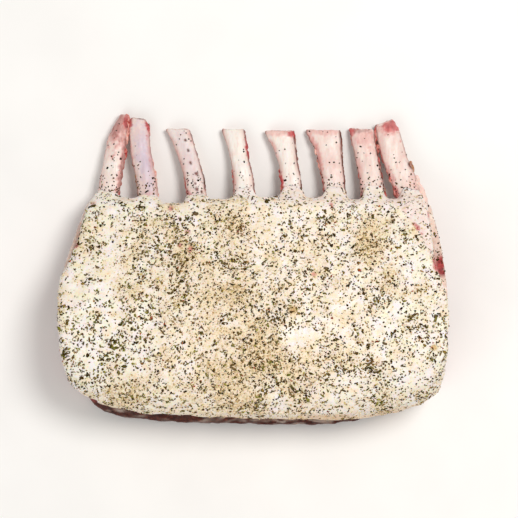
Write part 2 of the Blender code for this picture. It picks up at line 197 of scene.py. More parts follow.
# Corners of sawn tips that aren't square: (rib, side, mm inwards, mm back, from what share of the way).
TIP_CORNERS = (
    (1, -1, 4.2, 0.0, 0.72), (2, -1, 1.0, 1.4, 0.85), (2, 1, 1.2, 2.2, 0.85), (3, -1, -0.8, 0.0, 0.8),
    (5, -1, -1.0, 0.0, 0.7), (6, -1, -1.7, 0.0, 0.7), (7, 1, -1.3, 0.6, 0.8), (8, -1, 0.0, 3.4, 0.85),
    (8, 1, 1.5, 0.6, 0.85),
)
# How many specks of pepper lie on each bone, and as many of herbs at its foot.
BONE_SPECKS = (44, 26, 30, 16, 26, 28, 34, 30)
# Scraps of flesh left along the bones: (rib, side, from share, to share, radius in mm, tone), where
# the tone goes from pale pink at 0 and below, through red at 0.5, to brown at 1.
# The dark tones of the scraps along the right edges of ribs 3 to 7 are partly painted shade of the bones'
# right sides.
SCRAPS = (
    (1, 1, -0.1, 0.6, 0.9, 0.55), (1, 1, 0.5, 1.0, 1.4, 0.4),
    (2, -1, 0.0, 0.5, 0.6, 0.9), (2, -1, 0.8, 1.0, 0.9, 0.45), (2, 1, 0.78, 0.92, 0.7, 0.5),
    (2, 1, 0.05, 0.5, 0.7, 0.2),
    (3, 1, 0.05, 0.85, 0.5, 0.8), (3, -1, 0.0, 0.35, 0.6, 0.4),
    (4, 1, 0.1, 1.0, 0.5, 0.65), (4, -1, 0.0, 0.45, 0.6, 0.5),
    (5, 1, 0.2, 1.0, 0.6, 0.75), (5, -1, 0.05, 0.5, 0.8, 0.45),
    (6, -1, 0.0, 0.95, 0.8, 0.4), (6, 1, 0.1, 0.9, 0.5, 0.75),
    (7, 1, -0.1, 0.95, 1.0, 0.6), (7, -1, 0.0, 0.9, 0.6, 0.3), (7, 1, -0.2, 0.2, 1.5, 0.6),
    (8, -1, -0.15, 0.35, 1.2, 0.35), (8, -1, 0.3, 0.9, 0.9, 0.5), (8, 1, 0.36, 0.5, 1.1, 0.95),
    (8, 1, -0.2, 0.32, 1.7, -0.2), (8, 1, -0.25, 0.2, 2.4, -0.2), (8, 1, -0.25, 0.12, 2.9, -0.25),
)

# What the rub is made of: the record's slot, the corners round a chip, its width as a share of its
# length, its thickness in mm, how much it curls, and its tones from dark to light.
Kind = namedtuple("Kind", "slot sides width thickness curl tones")
RUB_KINDS = {
    "herb_flakes": Kind(
        "herbs", 5, 0.74, 0.32, 0.25, ((40, 26, 4), (74, 52, 14), (112, 87, 34), (160, 132, 64))
    ),
    "leaf_flakes": Kind(
        "herbs", 6, 0.5, 0.32, 0.5, ((50, 41, 14), (94, 82, 32), (120, 96, 70), (138, 134, 50))
    ),
    "herb_needles": Kind(
        "herbs", 6, 0.25, 0.42, 0.2, ((52, 42, 18), (98, 84, 42), (122, 98, 62), (140, 128, 60))
    ),
    "green_sprigs": Kind(
        "herbs", 5, 0.55, 0.3, 0.25, ((96, 98, 32), (136, 132, 48), (160, 152, 68), (190, 180, 90))
    ),
    "husk_chips": Kind(
        "spice", 5, 0.6, 0.3, 0.25, ((66, 43, 16), (108, 76, 34), (150, 110, 58), (190, 148, 90))
    ),
    "pepper_bits": Kind(
        "pepper", 5, 0.8, 0.5, 0.25, ((22, 14, 4), (38, 25, 8), (58, 40, 16), (92, 64, 28))
    ),
    "spice_grains": Kind(
        "spice", 4, 0.8, 0.5, 0.25, ((206, 168, 112), (234, 206, 156), (250, 234, 196), (232, 210, 116))
    ),
    "chili_flakes": Kind(
        "spice", 5, 0.6, 0.3, 0.25, ((140, 44, 26), (172, 64, 36), (190, 86, 48), (206, 120, 66))
    ),
}
CHIP_TILT = 0.22  # how far chips lean away from lying flat
CHIP_SUNK = 0.25  # the share of a chip's thickness that is sunk in the skin below it


# --- arrays and meshes


def rgb(red, green, blue):
    """A colour given as screen values from 0 to 255, as the shader's linear values."""
    linear = [((v / 255 + 0.055) / 1.055) ** 2.4 if v > 10 else v / 255 / 12.92 for v in (red, green, blue)]
    return (*linear, 1.0)


def rise(start, end, values):
    """Rises smoothly from 0 at start to 1 at end, which may be the lower of the two."""
    share = np.clip((values - start) / (end - start), 0, 1)
    return share * share * (3 - 2 * share)


def hashed(cells, seed):
    """A repeatable random value from 0 to 1 for each whole-numbered cell."""
    mixed = cells[:, 0] * 73856093 ^ cells[:, 1] * 19349663 ^ cells[:, 2] * 83492791
    mixed ^= seed * 2654435 + 911
    mixed = (mixed ^ (mixed >> 13)) * 1274126177
    mixed = (mixed ^ (mixed >> 16)) & 0xFFFFFF
    return mixed / 0xFFFFFF


def noise(points, size, seed):
    """Smooth noise from -1 to 1 at each point, with lumps about size mm across."""
    place = points / np.asarray(size, float) + 0.37 * (seed + 1)
    cell = np.floor(place).astype(np.int64)
    t = place - cell
    t = t * t * (3 - 2 * t)
    total = np.zeros(len(points))
    for corner in itertools.product((0, 1), repeat=3):
        weight = np.prod(np.where(corner, t, 1 - t), axis=1)
        total += weight * hashed(cell + corner, seed)
    return total * 2 - 1


def swirled(points, size, amount, seed):
    """Points pushed about by noise, so that other noise read there shows no straight edges."""
    pushes = [noise(points, size, seed + axis) for axis in range(3)]
    return points + amount * np.stack(pushes, axis=1)


def cell_bumps(points, size, seed):
    """Round bumps about size mm across, one in each cell: 1 at a bump's middle, 0 between them."""
    place = points / size
    cell = np.floor(place).astype(np.int64)
    nearest = np.full(len(points), 9.0)
    for corner in itertools.product((-1, 0, 1), repeat=3):
        at = cell + corner
        middle = at + np.stack([hashed(at, seed + axis) for axis in range(3)], axis=1)
        nearest = np.minimum(nearest, ((place - middle) ** 2).sum(axis=1))
    return np.clip(1 - 1.4 * np.sqrt(nearest), 0, 1)


def spots(points, table):
    """The sum of soft round spots from a table of (x, y, radius, strength), at each point."""
    total = np.zeros(len(points))
    for x, y, radius, strength in table:
        away = (points[:, 0] - x) ** 2 + (points[:, 1] - y) ** 2
        total += strength * np.exp(-away / radius**2)
    return total


def points_of(mesh):
    flat = np.empty(len(mesh.vertices) * 3)
    mesh.vertices.foreach_get("co", flat)
    return flat.reshape(-1, 3) / MM


def normals_of(mesh):
    flat = np.empty(len(mesh.vertices) * 3)
    mesh.vertex_normals.foreach_get("vector", flat)
    return flat.reshape(-1, 3)


def move_points(mesh, points):
    """Gives a mesh its new points."""
    points[:, 2] = np.maximum(points[:, 2], LOWEST)
    mesh.vertices.foreach_set("co", (points * MM).ravel())
    mesh.update()


def paint(mesh, name, values):
    """Stores a value for each point, which the material reads by name."""
    layer = mesh.attributes.new(name, "FLOAT", "POINT")
    layer.data.foreach_set("value", np.clip(values, 0, 1).astype(np.float32))


def new_object(name, data):
    made = bpy.data.objects.new(name, data)
    bpy.context.scene.collection.objects.link(made)
    return made


def remeshed(piece, voxel, smoothing):
    """Gives a closed piece an even fine mesh, smoothed so many times."""
    name = piece.name
    remesh = piece.modifiers.new("remesh", "REMESH")
    remesh.mode = "VOXEL"
    remesh.voxel_size = voxel * MM
    smooth = piece.modifiers.new("smooth", "SMOOTH")
    smooth.iterations = smoothing
    bpy.context.view_layer.update()
    evaluated = piece.evaluated_get(bpy.context.evaluated_depsgraph_get())
    piece.data = bpy.data.meshes.new_from_object(evaluated)
    piece.modifiers.clear()
    piece.data.name = name
    piece.data.materials.clear()
    return piece


def fine_skin(node, name, voxel, smoothing):
    """A finely meshed copy of a CAD node, for relief to be added to."""
    bm = bmesh.new()
    bm.from_mesh(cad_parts[node].data)
    bmesh.ops.remove_doubles(bm, verts=bm.verts, dist=1e-6)
    mesh = bpy.data.meshes.new(name)
    bm.to_mesh(mesh)
    bm.free()
    return remeshed(new_object(name, mesh), voxel, smoothing)


def mesh_of(name, corners, triangles):
    mesh = bpy.data.meshes.new(name)
    mesh.from_pydata((corners * MM).tolist(), [], triangles.tolist())
    return mesh


def dress(piece, material, slot, *nodes):
    """Gives a piece its material and smooth shading, hangs it on the root body and hides the CAD nodes it
    stands for. The slot is not used.
    """
    piece.data.materials.append(material)
    piece.data.shade_smooth()
    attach(piece, "root")
    if nodes:
        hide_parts(*nodes)


# --- material nodes


class Surface:
    """A material with short ways to add the nodes that are used here."""

    def __init__(self, name, **sockets):
        self.material = bpy.data.materials.new(name)
        self.material.use_nodes = True
        self.tree = self.material.node_tree
        self.shader = self.tree.nodes["Principled BSDF"]
        for socket, value in sockets.items():
            self.shader.inputs[socket.replace("_", " ")].default_value = value
        self.place = self.node("TexCoord").outputs["Object"]

    def node(self, kind, **inputs):
        made = self.tree.nodes.new("ShaderNode" + kind)
        for name, value in inputs.items():
            self.put(made.inputs[name.replace("_", " ")], value)
        return made

    def put(self, socket, value):
        """Links a socket to another node's output, or sets its value."""
        if isinstance(value, bpy.types.NodeSocket):
            self.tree.links.new(value, socket)
        else:
            socket.default_value = value

    def painted(self, name):
        """The values that paint stored under a name."""
        made = self.node("Attribute")
        made.attribute_name = name
        return made.outputs["Fac"]

    def noise(self, size, detail=3.0, roughness=0.55, stretch=None):
        """Noise whose lumps are about size mm across, drawn out along each axis by stretch."""
        place = self.place
        if stretch:
            place = self.node("Mapping", Vector=place, Scale=[1 / v for v in stretch]).outputs["Vector"]
        scale = 1 / (size * MM)
        made = self.node("TexNoise", Vector=place, Scale=scale, Detail=detail, Roughness=roughness)
        return made.outputs["Fac"]

    def ramp(self, value, *stops):
        """A colour or grey for each value, from stops of (position, screen colour or grey from 0 to 1)."""
        made = self.node("ValToRGB", Fac=value)
        for index, (position, tone) in enumerate(stops):
            if index < 2:
                stop = made.color_ramp.elements[index]
                stop.position = position
            else:
                stop = made.color_ramp.elements.new(position)
            stop.color = rgb(*tone) if isinstance(tone, tuple) else (tone, tone, tone, 1)
        return made.outputs["Color"]

    def mix(self, factor, below, above):
        """A colour that goes from below to above as the factor goes from 0 to 1."""
        made = self.node("Mix")
        made.data_type = "RGBA"
        self.put(made.inputs[0], factor)
        self.put(made.inputs[6], below)  # the colours' sockets, as others share their names
        self.put(made.inputs[7], above)
        return made.outputs[2]

    def layers(self, colour, *layers):
        """A colour with others laid over it in turn, from pairs of (factor, colour)."""
        for factor, above in layers:
            colour = self.mix(factor, colour, above)
        return colour

    def times(self, one, two):
        made = self.node("Math")
        made.operation = "MULTIPLY"
        made.use_clamp = True
        self.put(made.inputs[0], one)
        self.put(made.inputs[1], two)
        return made.outputs[0]

    def finish(self, colour, roughness, height, distance, strength):
        """Links colour, roughness and relief to the shader. The distance is the relief's height in mm."""
        self.put(self.shader.inputs["Base Color"], colour)
        self.put(self.shader.inputs["Roughness"], roughness)
        bump = self.node("Bump", Height=height, Distance=distance * MM, Strength=strength)
        self.put(self.shader.inputs["Normal"], bump.outputs["Normal"])
        return self.material


# --- the fat cap


def french_line(points):
    """How far each point lies past the ragged line where the fat gives way to the bones."""
    x = points[:, 0]
    line = 2.6 + 2.4 * rise(-62, -85, x) + 4.5 * rise(5, 25, x) - 3 * rise(80, 92, x)
    line += 1.5 * noise(points, (6, 6, 20), 2)
    return points[:, 1] - FRENCH_Y - line


def front_rim(points):
    """The smooth rim low on the fat's front, above the dark meat, whose beige is partly the fat's own and
    partly painted shade with a painted golden reflection.
    """
    x, y, z = points.T
    top = 37 + 5 * rise(-40, 0, x)
    rim = rise(0, -9, z - top + 4 * noise(points, (9, 9, 5), 6))
    rim *= rise(FRONT_Y + 14, FRONT_Y + 8, y)
    return rim * rise(-88, -74, x) * rise(100, 84, x + 6 * noise(points, 7, 9))


def right_flap(points):
    """The pale skin right of the crease that runs down the fat's right shoulder."""
    x, y = points[:, 0], points[:, 1]
    crease = np.interp(y, (2, 20, 30, 38), (99, 92, 84, 74))
    return rise(-0.9, 0.9, x - crease + noise(points, 3, 10)) * rise(0, 5, y)


def front_setback(points):
    """How many mm the fat's front edge stands back from the meat below it, most near the left corner."""
    x, y, z = points.T
    amount = np.interp(x, (-100, -90, -72, -45, -10, 20, 50), (0, 2.4, 2.8, 2.0, 1.7, 1.0, 0))
    low = rise(40, 30, z + 3 * noise(points, (9, 9, 5), 6))
    return amount * low * rise(FRONT_Y + 24, FRONT_Y + 13, y)


def on_neck(points):
    """The tongues of fat that climb the bones right of the middle, which are whiter and carry less rub."""
    x, y = points[:, 0], points[:, 1]
    return rise(FRENCH_Y - 6, FRENCH_Y, y) * rise(5, 20, x)


def rub_density(points):
    """How thickly the rub lies at each point, from 0 up to about 2."""
    density = 0.62 + 0.7 * spots(points, DENSE_RUB) - 0.65 * spots(points, BARE_FAT)
    density += 0.0012 * points[:, 0]
    uneven = 0.30 * noise(points, 9, 3) + 0.48 * noise(points, 4, 4)
    density += uneven + 0.55 * noise(points, 2.1, 5)
    bare = np.maximum(0.7 * rise(-1.5, 3.5, french_line(points)), 0.6 * front_rim(points))
    bare = np.maximum(bare, np.maximum(0.4 * right_flap(points), 0.35 * on_neck(points)))
    return np.clip(density, 0.03, 2.2) * (1 - bare)


def paste_density(points):
    """How thickly the tan paste of spices lies at each point, from 0 to 1."""
    density = 0.26 + 0.8 * spots(points, PASTE) - 0.4 * spots(points, BARE_FAT)
    density += 0.34 * noise(points, 12, 7) + 0.34 * noise(points, 4.5, 8)
    clear = np.maximum(rise(-2, 1.5, french_line(points)), 0.75 * on_neck(points))
    return np.clip(density, 0, 1) * (1 - np.maximum(clear, 0.7 * right_flap(points)))


def fat_relief(points, rub, paste, bare):
    """How far each point of the fat is raised, in mm."""
    lumps = 0.6 * noise(points, 11, 11) + 0.42 * noise(points, 4.5, 12)
    lumps += 0.2 * noise(points, 2.2, 13)
    grains = cell_bumps(points, 1.7, 20) * 0.34 + cell_bumps(points, 2.9, 24) * 0.3
    creases = spots(points, [(x, y, radius * 0.5, -0.9 * s) for x, y, radius, s in PINK_FAT])
    relief = lumps + grains * np.clip(0.35 * rub + 1.1 * paste, 0, 1.3) + creases + 0.4 * paste
    relief += spots(points, LUMPS)
    relief -= 0.7 * right_flap(points)
    relief -= front_setback(points)
    return relief * (1 - 0.75 * bare) - 0.7 * bare


def settled(points):
    """The fat's points, its tongues thinned out towards the bones and its highest lumps pressed down."""
    x, y, z = points.T
    bone_top = np.interp(y, (FRENCH_Y - 3, FRENCH_Y + 13), (16.4, 12.9))
    thinned = 1 - 0.8 * rise(FRENCH_Y - 2, FRENCH_Y + 8, y)
    z = np.where(z > bone_top, bone_top + (z - bone_top) * thinned, z)
    z -= 0.4 * np.maximum(z - HIGH[2] - 0.2, 0)
    return np.stack([x, y, z], axis=1)


def paint_fat(mesh, points, rub, paste, bare):
    paint(mesh, "rub", rub / 2)
    paint(mesh, "paste", paste)
    paint(mesh, "pink", spots(points, PINK_FAT) * (1 + 0.7 * noise(points, 3, 31)) * (1 - bare))
    paint(mesh, "bare", bare)
    pale = np.maximum(right_flap(points), 0.45 * on_neck(points))
    paint(mesh, "flap", pale * (0.75 + 0.3 * noise(points, 4, 15)))
    sway = points[:, 0] + 18 * noise(points, 20, 14)
    paint(mesh, "cool", rise(-20, -75, sway) + 0.9 * rise(35, 75, sway))
    # The front rim's beige is partly the fat's own colour and partly painted shade with a painted golden
    # reflection.
    paint(mesh, "rim", front_rim(points))
    paint(mesh, "lump", spots(points, [(x, y, radius, 1.2) for x, y, radius, _ in TAN_LUMPS]))


def make_fat():
    piece = fine_skin("fat_cap", "fat_skin", *FAT_MESH)
    points, normals = points_of(piece.data), normals_of(piece.data)
    drawn_back = 0.3 + 0.5 * rise(-15, -30, points[:, 0])
    points[:, 1] -= np.maximum(french_line(points), 0) * drawn_back
    outside = rise(-0.35, 0.15, normals[:, 2] + 0.9 * (points[:, 1] < FRONT_Y + 12))
    rub, paste = rub_density(points), paste_density(points)
    bare = rise(-1.5, 2.5, french_line(points))
    relief = fat_relief(points, rub, paste, bare)
    move_points(piece.data, settled(points + normals * (relief * outside)[:, None]))
    paint_fat(piece.data, points, rub, paste, bare)
    dress(piece, fat_material(), "fat", "fat_cap")
    return piece


def plain_fat(look):
    """The fat's own colour, creamy in the middle and chalky towards the sides."""
    cream = look.ramp(
        look.noise(4.5, 2.5), (0.34, (244, 236, 235)), (0.48, (243, 234, 224)),
        (0.58, (243, 231, 209)), (0.7, (242, 224, 194)),
    )
    chalk = look.ramp(look.noise(5.5, 2), (0.4, (237, 232, 237)), (0.6, (236, 236, 213)))
    colour = look.mix(look.times(look.painted("cool"), 0.6), cream, chalk)
    for size, tint in ((4.2, (240, 230, 240)), (3.6, (230, 228, 186)), (5.1, (242, 214, 178))):
        patch = look.ramp(look.noise(size, 2), (0.56, 0.0), (0.68, 0.6))
        colour = look.mix(patch, colour, rgb(*tint))
    return colour


def seasoned(look, colour, fine):
    """The colour with tan paste, lumps of spice, dusty flecks and olive stains laid over it."""
    rub, paste = look.painted("rub"), look.painted("paste")
    patchy = look.times(paste, look.ramp(look.noise(2.6, 3), (0.3, 0.5), (0.62, 1.0)))
    tan = look.ramp(fine, (0.3, (196, 164, 118)), (0.5, (228, 203, 164)), (0.68, (246, 228, 194)))
    lump = look.ramp(look.painted("lump"), (0.3, 0.0), (0.8, 0.9))
    spice = look.ramp(fine, (0.35, (168, 124, 70)), (0.6, (222, 188, 128)))
    flecks = look.ramp(look.noise(0.9, 2, 0.6), (0.6, 0.0), (0.67, 0.6))
    dusty = look.times(flecks, look.ramp(rub, (0.1, 0.1), (0.6, 1.0)))
    dust = look.ramp(look.noise(3.5, 1), (0.4, (130, 112, 62)), (0.6, (160, 122, 76)))
    stained = look.times(look.ramp(look.noise(2.4, 2), (0.58, 0.0), (0.72, 0.6)), rub)
    olive = rgb(206, 200, 122)
    return look.layers(colour, (patchy, tan), (lump, spice), (dusty, dust), (stained, olive))


def fat_material():
    look = Surface("fat", Subsurface_Weight=0.1, Subsurface_Scale=0.0015, Specular_IOR_Level=0.35)
    fine = look.noise(1.0, 4)
    thin = look.noise(2.8, 2, stretch=(1, 2, 1))
    rose = look.ramp(thin, (0.35, (246, 240, 236)), (0.65, (240, 222, 216)))
    skin = look.ramp(look.noise(3.5, 3), (0.35, (238, 226, 222)), (0.65, (230, 204, 196)))
    # Beige low on the fat's front: partly its own colour, partly painted shade and a painted golden
    # reflection.
    rim = look.times(look.painted("rim"), 0.85)
    drawn_out = look.noise(4, 3, stretch=(3, 1, 1))
    beige = look.ramp(drawn_out, (0.35, (236, 212, 178)), (0.65, (222, 178, 146)))
    blush = look.ramp(look.painted("pink"), (0.26, 0.0), (0.48, 0.65), (0.75, 1.0))
    red = look.ramp(look.noise(1.6, 3), (0.35, (222, 136, 130)), (0.6, (172, 46, 60)))
    bare, flap, paste = look.painted("bare"), look.painted("flap"), look.painted("paste")
    colour = seasoned(look, plain_fat(look), fine)
    colour = look.layers(colour, (bare, rose), (flap, skin), (rim, beige), (blush, red))
    roughness = look.ramp(paste, (0.0, 0.4), (0.8, 0.75))
    height = look.mix(look.ramp(paste, (0.0, 0.25), (0.6, 0.9)), look.noise(2.5, 3), fine)
    return look.finish(colour, roughness, height, 0.4, 0.8)


# --- the meat


def depth_in_meat(points):
    """How deep each point lies below the meat's top, from 0 at the top to 1 at the underside."""
    x, y, z = points.T
    rows = np.arange(LOW[1], FRENCH_Y + 2, 2.0)
    slices = [z[(np.abs(x) > 85) & (np.abs(y - row) < 2.2)] for row in rows]
    filled = [(row, heights.min(), heights.max()) for row, heights in zip(rows, slices) if len(heights)]
    places, low, high = np.array(filled).T
    top, bottom = np.interp(y, places, high), np.interp(y, places, low)
    return (top - z) / (top - bottom + 0.1)


def end_fat(points):
    """Where fat lies on the cut ends: round the eye of the loin, and in seams behind it."""
    y, z = points[:, 1] - FRONT_Y, points[:, 2]
    depth = depth_in_meat(points)
    sway = noise(points, 13, 50)
    wobble = 1.5 * noise(points, 8, 51) + 0.5 * noise(points, 3, 53)
    eye = np.hypot((y - EYE_Y) / EYE_WIDE, (z - EYE_Z) / EYE_HIGH) * EYE_HIGH + wobble
    ring = rise(1.7, 0.5, np.abs(eye - EYE_HIGH) * (1 + 0.5 * sway))
    cap = rise(1.1, 0.3, np.abs(eye - EYE_HIGH - 4 - 1.5 * sway)) * (y > 22) * (z > 22)
    behind = rise(15, 17, eye) * (y > EYE_Y)
    width = 0.055 + 0.05 * noise(points, 6, 54)
    upper = rise(width + 0.05, width, np.abs(depth - 0.33 - 0.1 * sway))
    lower = rise(width + 0.02, width - 0.03, np.abs(depth - 0.68 + 0.14 * sway)) * (y < 88)
    skin = rise(0.05, 0.02, depth) + rise(0.965, 0.985, depth)
    bent = swirled(points, 5, 2.2, 200)
    marbling = rise(0.4, 0.62, noise(bent, (4, 5, 1.3), 52)) * (eye < 12) * 0.7
    thread = rise(0.48, 0.62, noise(bent, (4, 8, 1.1), 55)) * behind * 0.7
    return np.clip(ring + cap + (upper + lower) * behind + skin + marbling + thread, 0, 1)


def top_fat(points, normals):
    """The pale fat on the meat's top where the fat cap doesn't reach, apart from its raw places."""
    above = rise(0.08, 0.3, normals[:, 2]) * rise(8, 14, points[:, 2])
    above *= np.clip(1 - spots(points, RAW_MEAT), 0, 1) * (0.85 + 0.2 * noise(points, 2.5, 57))
    return above * rise(FRONT_Y + 8, FRONT_Y + 22, points[:, 1])


def front_streaks(points, face):
    """Streaks of fat along the meat's front face, most in the rind near its top."""
    rind = rise(8.5, 12.5, points[:, 2] + 2.5 * noise(points, (6, 4, 3), 49)) * face
    bent = swirled(points, 7, 2.0, 210)
    streaks = rise(0.42, 0.7, noise(bent, (14, 3, 1.0), 45)) * 0.4
    torn = 0.55 * rind * rise(0.0, 0.5, noise(bent, (7, 2, 1.0), 56))
    return np.maximum(streaks, torn) * face


def make_meat():
    piece = fine_skin("loin_meat", "loin_flesh", *MEAT_MESH)
    mesh = piece.data
    points, normals = points_of(mesh), normals_of(mesh)
    height = points[:, 2]
    ends = rise(0.45, 0.8, np.abs(normals[:, 0]))
    face = rise(FRONT_Y + 12, FRONT_Y + 4, points[:, 1]) * rise(0.2, 2.0, height) * (1 - ends)
    under = rise(-0.2, -0.6, normals[:, 2]) * rise(1.0, 4.0, height)
    fatty = end_fat(points) * ends
    ragged = 0.8 * noise(points, (6, 5, 2.2), 41) + 0.4 * noise(points, (2.5, 2, 1.1), 42)
    fibres = 0.22 * noise(points, 2.2, 44) + 0.1 * noise(points, 1.1, 47)
    strands = noise(points, (9, 2.2, 2.2), 43) * 0.5 + noise(points, (3, 1.2, 1.2), 48) * 0.15
    strands *= rise(2, 8, height)
    relief = (ragged + 0.5) * face + (fibres + 0.35 * fatty) * ends + strands * under
    relief += 0.35 * rise(0.1, 0.5, normals[:, 2])
    move_points(mesh, points + normals * relief[:, None])
    paint(mesh, "fatty", np.maximum(fatty, top_fat(points, normals)) + front_streaks(points, face))
    # The meat's front face and its low front corner under the fat are painted darker: partly the meat's own
    # browner front, partly painted shade.
    corner = rise(FRONT_Y + 14, FRONT_Y + 5, points[:, 1]) * rise(30, 20, height)
    paint(mesh, "dark", np.maximum(face, corner) * 0.9 + 0.25)
    torn = noise(swirled(points, 9, 7.0, 220), (11, 16, 11), 46) + 0.4 * noise(points, 3, 59)
    paint(mesh, "membrane", under * rise(-0.5, 0.2, torn))
    dress(piece, meat_material(), "meat", "loin_meat")
    return piece


def meat_material():
    look = Surface("meat", Subsurface_Weight=0.1, Subsurface_Scale=0.002, Specular_IOR_Level=0.25)
    grain = look.noise(1.5, 5, 0.65)
    red = look.ramp(grain, (0.3, (126, 34, 38)), (0.5, (164, 54, 54)), (0.72, (196, 92, 84)))
    patchy = look.ramp(look.noise(9, 3), (0.4, 0.0), (0.65, 0.8))
    deep = look.ramp(grain, (0.3, (96, 24, 30)), (0.6, (146, 46, 48)), (0.75, (172, 70, 66)))
    # Dark brown on the front face and low front: partly the meat's colour, partly painted shade.
    dark = look.ramp(look.painted("dark"), (0.4, 0.0), (0.9, 1.0))
    brown = look.ramp(grain, (0.35, (46, 14, 8)), (0.55, (82, 30, 16)), (0.75, (128, 66, 42)))
    membrane = look.times(look.painted("membrane"), 0.75)
    film = look.ramp(look.noise(3, 4), (0.3, (222, 160, 150)), (0.7, (238, 204, 192)))
    fatty = look.painted("fatty")
    white = look.ramp(look.noise(2, 3), (0.3, (230, 204, 186)), (0.7, (245, 233, 220)))
    colour = look.layers(red, (patchy, deep), (dark, brown), (membrane, film), (fatty, white))
    roughness = look.ramp(grain, (0.3, 0.28), (0.7, 0.45))
    return look.finish(colour, roughness, look.noise(0.9, 4), 0.3, 0.8)


# --- the bones


def bone_frame(points, node):
    """Each point's share of the way to the tip, place across and up from -1 to 1, and the way's length."""
    y = points[:, 1]
    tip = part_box(node)[1].y / MM
    steps = np.arange(y.min(), tip, 2.0)
    slices = [points[np.abs(y - step) < 1.6] for step in steps]
    places = []
    for axis in (0, 2):
        low = np.interp(y, steps, [ring[:, axis].min() for ring in slices])
        high = np.interp(y, steps, [ring[:, axis].max() for ring in slices])
        places.append((2 * points[:, axis] - low - high) / (high - low))
    return (y - FRENCH_Y) / (tip - FRENCH_Y), *places, tip - FRENCH_Y


def cut_tip(points, rib, share, across):
    """Moves the corners of a rib's sawn tip as the table says."""
    for which, side, inwards, back, start in TIP_CORNERS:
        if which == rib:
            near = rise(start, 1.0, share) * np.clip(side * across * 0.6 + 0.4, 0, 1)
            points[:, :2] -= near[:, None] * (side * inwards, back)


def marks_on(rib, kind, share, across, reach, points):
    """How strongly each point carries one kind of mark."""
    total = np.zeros(len(share))
    sharpness = 1.2 if kind == "haze" else 2.5
    wobble = 1 + 0.45 * noise(points, 2.2, 60 + rib) + 0.3 * noise(points, 0.9, 70 + rib)
    for which, what, place, side, length, width, strength in MARKS:
        if which == rib and what == kind:
            away = ((share - place) * reach / (length * 0.6)) ** 2 + ((across - side) / width) ** 2
            total = np.maximum(total, strength * np.exp(-((away * wobble**2) ** sharpness)))
    return total


def edge_lines(points, across, rib):
    """The ragged flesh and stain along a bone's two edges, at each point; the dark line on the right edges
    is partly painted shade.
    """
    left_flesh, left_stain, right_flesh, right_stain_and_shade = EDGES[rib - 1]
    torn = noise(points, (3, 4, 3), 120 + rib) + 0.5 * noise(points, 1.2, 130 + rib)
    flesh = rise(0.78, 0.94, -across) * left_flesh + rise(0.78, 0.94, across) * right_flesh
    flesh *= 0.35 + 0.65 * rise(-0.35, 0.35, torn)
    # The right edge's dark line is partly stain and partly painted shade of the bone's side.
    stain_and_shade = rise(0.86, 0.98, -across) * left_stain + rise(0.8, 0.94, across) * right_stain_and_shade
    stain_and_shade *= rise(-0.7, -0.2, noise(points, (2, 3, 2), 140 + rib))
    return flesh, stain_and_shade


def make_bone(rib):
    node = RIBS[rib - 1]
    piece = fine_skin(node, f"bone_{rib}", *BONE_MESH)
    mesh = piece.data
    points, normals = points_of(mesh), normals_of(mesh)
    share, across, up, reach = bone_frame(points, node)
    cut_tip(points, rib, share, across)
    kinds = ("flesh", "blood", "stain_and_shade", "haze")
    marks = {kind: marks_on(rib, kind, share, across, reach, points) for kind in kinds}
    for kind in ("stain_and_shade", "haze"):
        marks[kind] *= rise(-0.5, 0.0, up)
    flesh, stain_and_shade = edge_lines(points, across, rib)
    marks["flesh"] = np.maximum(marks["flesh"], flesh)
    marks["stain_and_shade"] = np.maximum(marks["stain_and_shade"], stain_and_shade)
    ridges = 0.2 * noise(points, (1.8, 14, 1.8), 80 + rib) + 0.2 * noise(points, (4, 7, 4), 90 + rib)
    scraped = 0.07 * noise(points, (0.9, 4, 0.9), 100 + rib)
    sawn = rise(0.6, 0.9, normals[:, 1]) * (share > 0.9)
    marrow = sawn * rise(0.78, 0.6, np.hypot(across, up) + 0.12 * noise(points, 1.6, 115))
    shreds = marks["flesh"] * 0.35 + marks["blood"] * 0.45 + marks["stain_and_shade"] * 0.3
    shreds *= 0.6 + 0.8 * noise(points, 1.5, 110 + rib)
    bare = rise(FRENCH_Y - 12, FRENCH_Y - 2, points[:, 1])
    relief = 0.3 - 0.2 * bare + (ridges + scraped + shreds) * (0.2 + 0.8 * bare) - 0.3 * marrow
    move_points(mesh, points + normals * relief[:, None])
    for kind, values in marks.items():
        paint(mesh, kind, values)
    paint(mesh, "marrow", marrow)
    paint(mesh, "pale", PALENESS[rib - 1] * rise(1.1, 0.4, np.abs(across)))
    dress(piece, BONE, "bone", node)
    return piece


def bone_material():
    look = Surface("bone", Subsurface_Weight=0.1, Subsurface_Scale=0.0015, Specular_IOR_Level=0.45)
    broad = look.noise(5, 3, stretch=(1, 2.5, 1))
    streak = look.noise(1.2, 4, stretch=(1, 5, 1))
    rosy = look.ramp(broad, (0.32, (236, 218, 210)), (0.5, (227, 200, 191)), (0.68, (218, 178, 171)))
    white = look.ramp(broad, (0.35, (239, 235, 229)), (0.65, (235, 223, 213)))
    lines = look.ramp(streak, (0.5, 0.0), (0.72, 0.45))
    colour = look.layers(rosy, (look.painted("pale"), white), (lines, rgb(226, 184, 172)))
    tones = {
        "haze": look.ramp(broad, (0.35, (190, 170, 186)), (0.65, (212, 196, 208))),
        "flesh": look.ramp(streak, (0.35, (208, 130, 124)), (0.65, (230, 186, 179))),
        # Dark brown for stains, and as painted shade along the bones' right edges.
        "stain_and_shade": look.ramp(streak, (0.35, (66, 26, 20)), (0.65, (122, 60, 46))),
        "blood": look.ramp(streak, (0.35, (150, 26, 36)), (0.65, (204, 64, 66))),
        "marrow": look.ramp(look.noise(0.8, 3), (0.4, (120, 34, 30)), (0.6, (176, 78, 64))),
    }
    colour = look.layers(colour, *((look.painted(name), tone) for name, tone in tones.items()))
    roughness = look.ramp(streak, (0.3, 0.3), (0.7, 0.5))
    return look.finish(colour, roughness, look.noise(0.7, 4, stretch=(1, 4, 1)), 0.15, 0.7)


